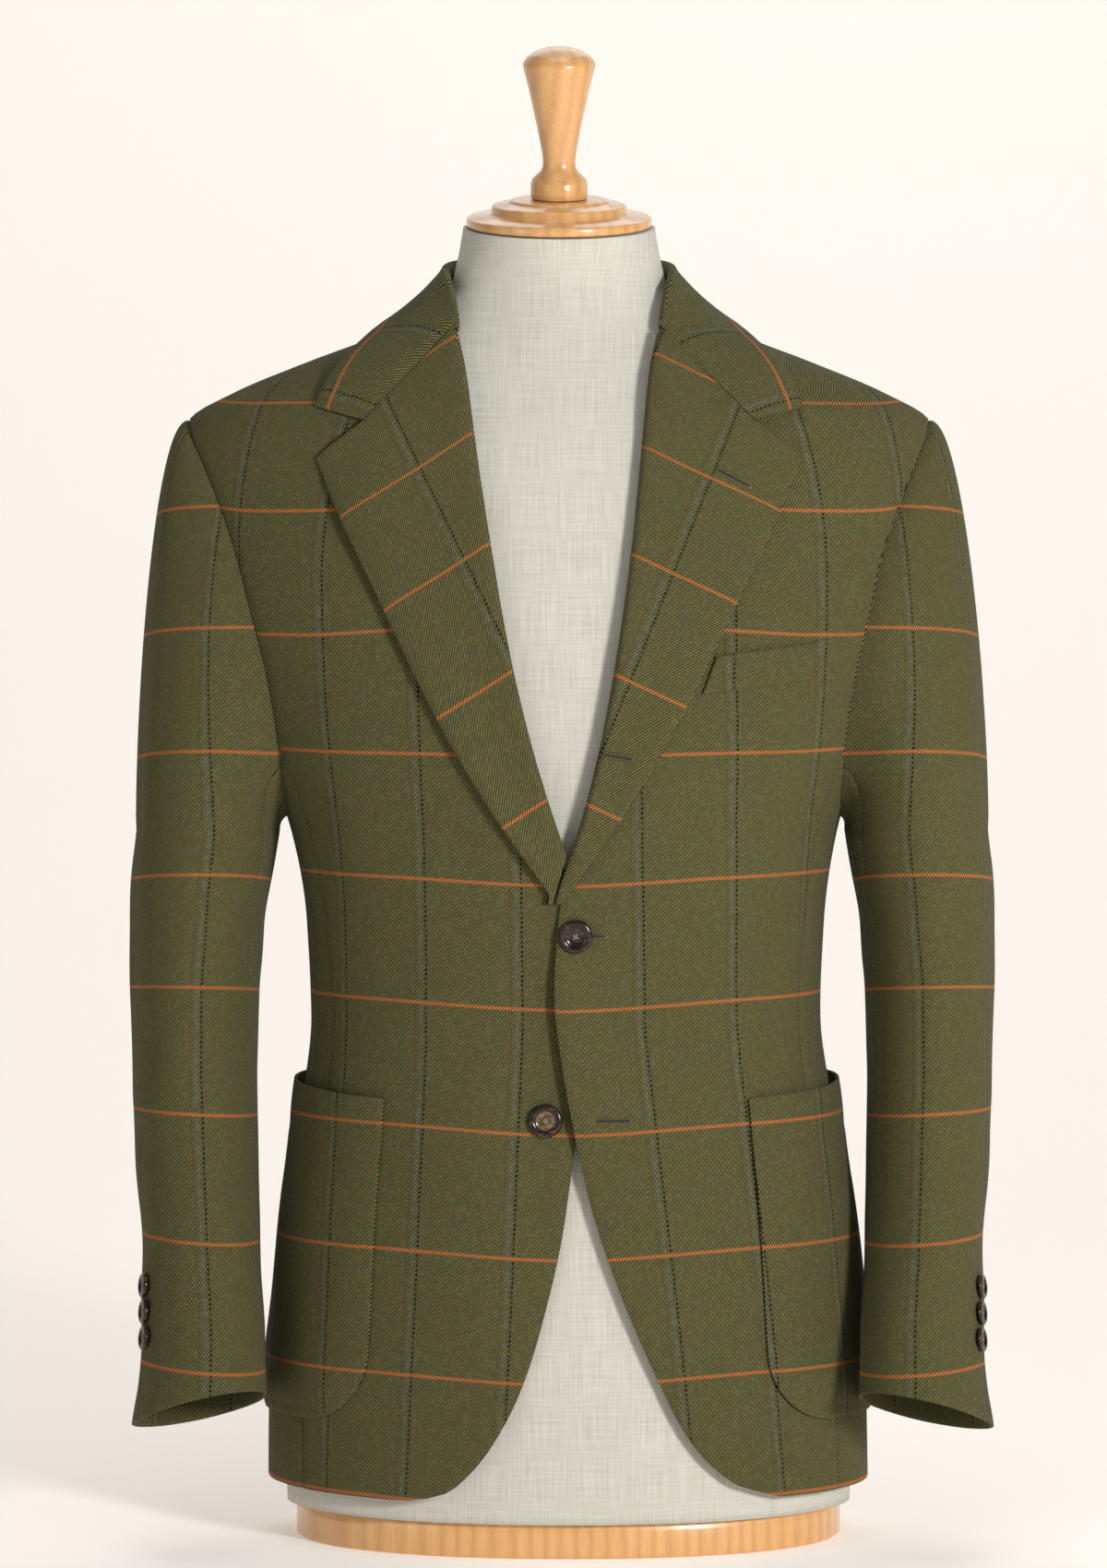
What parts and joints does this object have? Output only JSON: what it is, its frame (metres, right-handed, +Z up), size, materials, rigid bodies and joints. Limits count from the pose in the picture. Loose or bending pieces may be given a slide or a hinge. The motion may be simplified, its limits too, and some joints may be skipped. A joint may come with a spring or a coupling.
{
  "type": "tweed jacket on a limbless dress form",
  "caption": "Olive windowpane tweed jacket, notch lapels and patch pockets, open cuffs, on a linen dress form.",
  "frame": {"origin": "on the floor, under the middle of the shoulder line, in the underside of the base board", "axes": "+Z up, the jacket's front faces -Y, the wearer's left side is +X"},
  "size_m": [0.5484, 0.263, 0.9402],
  "materials": {
    "tweed": "olive twill tweed with an orange and grey-blue windowpane check",
    "button_horn": "dark brown horn, polished",
    "form_linen": "natural linen, matte",
    "turned_wood": "light wood, clear lacquer"
  },
  "bodies": {
    "root": {"back_left": "tweed", "back_right": "tweed", "base_board": "turned_wood", "breast_welt": "tweed", "button_cuff_left_1": "button_horn", "button_cuff_left_2": "button_horn", "button_cuff_left_3": "button_horn", "button_cuff_right_1": "button_horn", "button_cuff_right_2": "button_horn", "button_cuff_right_3": "button_horn", "button_front_lower": "button_horn", "button_front_upper": "button_horn", "collar": "tweed", "form_torso": "form_linen", "front_left": "tweed", "front_right": "tweed", "lapel_left": "tweed", "lapel_right": "tweed", "neck_block": "turned_wood", "neck_handle": "turned_wood", "patch_pocket_left": "tweed", "patch_pocket_right": "tweed", "side_left": "tweed", "side_right": "tweed", "sleeve_under_left": "tweed", "sleeve_under_right": "tweed", "sleeve_upper_left": "tweed", "sleeve_upper_right": "tweed"}
  },
  "joints": []
}
